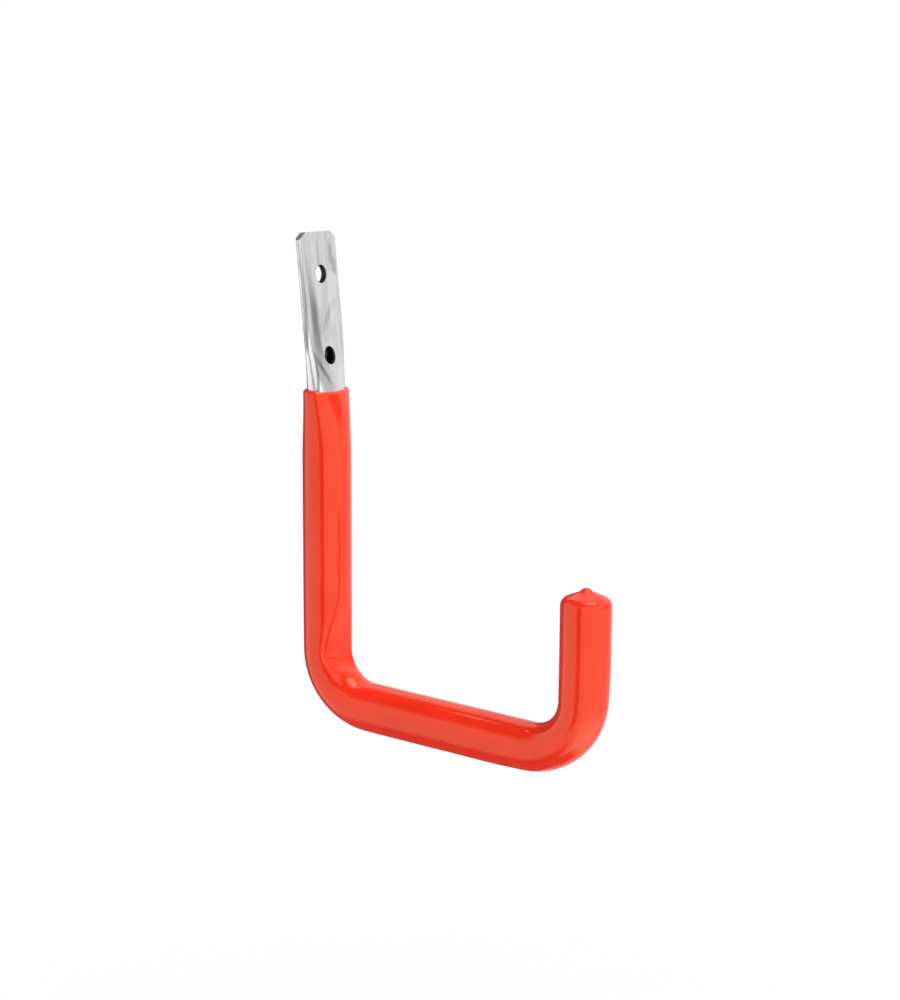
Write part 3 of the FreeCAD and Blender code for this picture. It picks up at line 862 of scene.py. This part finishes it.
glow = bench.node("ShaderNodeEmission", None, {"Color": (1.0, 1.0, 1.0, 1.0), "Strength": 1.0})
sheet = bench.node("ShaderNodeMixShader", None, {0: rays * lift, 1: matt, 2: glow})
bench.node("ShaderNodeOutputMaterial", None, {"Surface": sheet})
floor_mesh.materials.append(paper)
print("floor at", round(floor_z / MM, 1), "mm")

# %% [markdown]
# The light tent
# Glossy vinyl shows the room more than its own colour, so the room has to be right. It was a white
# tent, made of panels with darker gaps between them, and the gaps draw the dark lines along
# the tube. The world holds that tent as a short list of panels, each a range of directions as
# seen from the hook. To the camera the same tent is plain white. Pictures of a room would do
# too, but a list can be tuned panel by panel.

# %% Directions in the studio
DEGREE = math.radians(1.0)
towards = PICTURE_BACK.copy()
towards.z = 0.0
towards.normalize()
across = Vector((-towards.y, towards.x, 0.0))
MIDDLE = Vector((0.0, -60.0, -60.0)) * MM


def studio_place(azimuth, elevation, distance):
    """A place in the studio, turned from the camera's side and raised, as seen from the hook."""
    level = towards * math.cos(azimuth * DEGREE) + across * math.sin(azimuth * DEGREE)
    way = level * math.cos(elevation * DEGREE) + Vector((0.0, 0.0, 1.0)) * math.sin(elevation * DEGREE)
    return MIDDLE + way * distance


print("camera side", [round(value, 3) for value in towards])

# %% Light tent
PANELS = [
    # from, to across the tent, from, to in height, softness of its ends in height, brightness
    (-122, -50, -44, 37, 10, 1.05),
    (-50, -22, -44, 37, 10, 0.90),
    (-22, 76, -72, 42, 5, 1.10),
    (0, 110, -66, -32, 8, 0.70),
    (76, 106, -72, 2, 2, 0.78),
    (76, 106, 12, 75, 4, 0.72),
    (106, 190, -66, 75, 5, 0.68),
    (150, 190, 42, 75, 5, 0.25),
    (-190, -160, 25, 75, 5, 0.90),
]
ROUND_LIGHT_AT = (60, 78)
ROUND_LIGHT_REACH = (22, 7)
ROUND_LIGHT_GLOW = 3.6
GAP_LIGHT = 0.12
PANEL_EDGE = 5.0
world = bpy.data.worlds.new("light_tent")
world.use_nodes = True
world.node_tree.nodes.clear()
scene.world = world
bench = Bench(world.node_tree)
direction = bench.node("ShaderNodeTexCoord", None, None, "Generated")


def along_way(way):
    """How far the direction looked in agrees with a given one, from -1 to 1."""
    pair = {0: direction, 1: way}
    return bench.node("ShaderNodeVectorMath", {"operation": "DOT_PRODUCT"}, pair, "Value")


ahead = along_way(towards)
aside = along_way(across)
azimuth = aside.sum("ARCTAN2", aside, ahead) / DEGREE
upward = bench.node("ShaderNodeSeparateXYZ", None, {0: direction}, "Z")
elevation = upward.sum("ARCSINE", upward) / DEGREE


def between(angle, low, high, soft):
    return angle.rise(low - soft, low + soft) * (1 - angle.rise(high - soft, high + soft))


light = GAP_LIGHT
for left, right, low, high, soft, brightness in PANELS:
    shape = between(azimuth, left, right, PANEL_EDGE) * between(elevation, low, high, soft)
    light = shape * brightness + light
round_light = studio_place(*ROUND_LIGHT_AT, 1.0) - MIDDLE
nearness = along_way(round_light)
outer, core = (math.cos(angle * DEGREE) for angle in ROUND_LIGHT_REACH)
light = nearness.rise(outer, core) * ROUND_LIGHT_GLOW + light
rays = bench.node("ShaderNodeLightPath", None, None, "Is Camera Ray")
straight = rays.at_least(rays.beside("Is Transmission Ray"))
tent = bench.node("ShaderNodeBackground", None, {"Color": light, "Strength": 1.0})
white = bench.node("ShaderNodeBackground", None, {"Color": (1.0, 1.0, 1.0, 1.0), "Strength": 1.0})
shown = bench.node("ShaderNodeMixShader", None, {0: straight, 1: tent, 2: white})
bench.node("ShaderNodeOutputWorld", None, {"Surface": shown})
print("tent nodes", len(world.node_tree.nodes))

# %% [markdown]
# The soft boxes
# Two lamps behind cloth light the hook: one overhead, and a stronger one at the front right that
# makes the right of the tube brighter than the left. The gloss must not show them twice, as the
# tent already holds their bright shapes, so they only light.

# %% Soft boxes
SOFT_BOXES = [
    # name, azimuth, elevation, distance, size, glow
    ("overhead_softbox", 12, 74, 0.90, 0.85, 0.5),
    ("key_softbox", 52, 36, 1.00, 0.70, 2.45),
]
for name, turn_to, raised, distance, size, glow in SOFT_BOXES:
    lamp = bpy.data.lights.new(name, "AREA")
    lamp.shape = "SQUARE"
    lamp.size = size
    lamp.energy = glow * size ** 2 * math.pi
    softbox = bpy.data.objects.new(name, lamp)
    softbox.location = studio_place(turn_to, raised, distance)
    softbox.rotation_euler = (softbox.location - MIDDLE).to_track_quat("Z", "Y").to_euler()
    softbox.visible_camera = False
    softbox.visible_glossy = False
    scene.collection.objects.link(softbox)
    print(name, round(lamp.energy, 2), "watts")

# %% [markdown]
# The black card
# The darkest line down the shank and the lip is a card that stands upright beside the camera. It is a
# real sheet rather than a gap in the tent, because it is near: the shank and the lip see it
# from different sides, and its line shifts between them.

# %% Black card
CARD_WIDTH = 0.15
CARD_HEIGHT = 0.66
CARD_PLACE = Vector((-442.0, -83.0, -20.0)) * MM
card_mesh = bpy.data.meshes.new("black_card")
facing = Vector((CARD_PLACE.x, CARD_PLACE.y - SHANK_Y, 0.0)).normalized()
edgeways = Vector((-facing.y, facing.x, 0.0)) * (CARD_WIDTH / 2)
upright = Vector((0.0, 0.0, CARD_HEIGHT / 2))
card_corners = [CARD_PLACE + edgeways * a + upright * b for a, b in SQUARE]
card_mesh.from_pydata(card_corners, [], [(0, 1, 2, 3)])
card = bpy.data.objects.new("black_card", card_mesh)
card.visible_camera = False
card.visible_shadow = False
scene.collection.objects.link(card)
black, bench = new_material("black_felt")
felt = bench.node("ShaderNodeBsdfDiffuse", None, {"Color": (0.15, 0.15, 0.15, 1.0)})
bench.node("ShaderNodeOutputMaterial", None, {"Surface": felt})
card_mesh.materials.append(black)
print("card stands at", [round(value / MM) for value in CARD_PLACE])
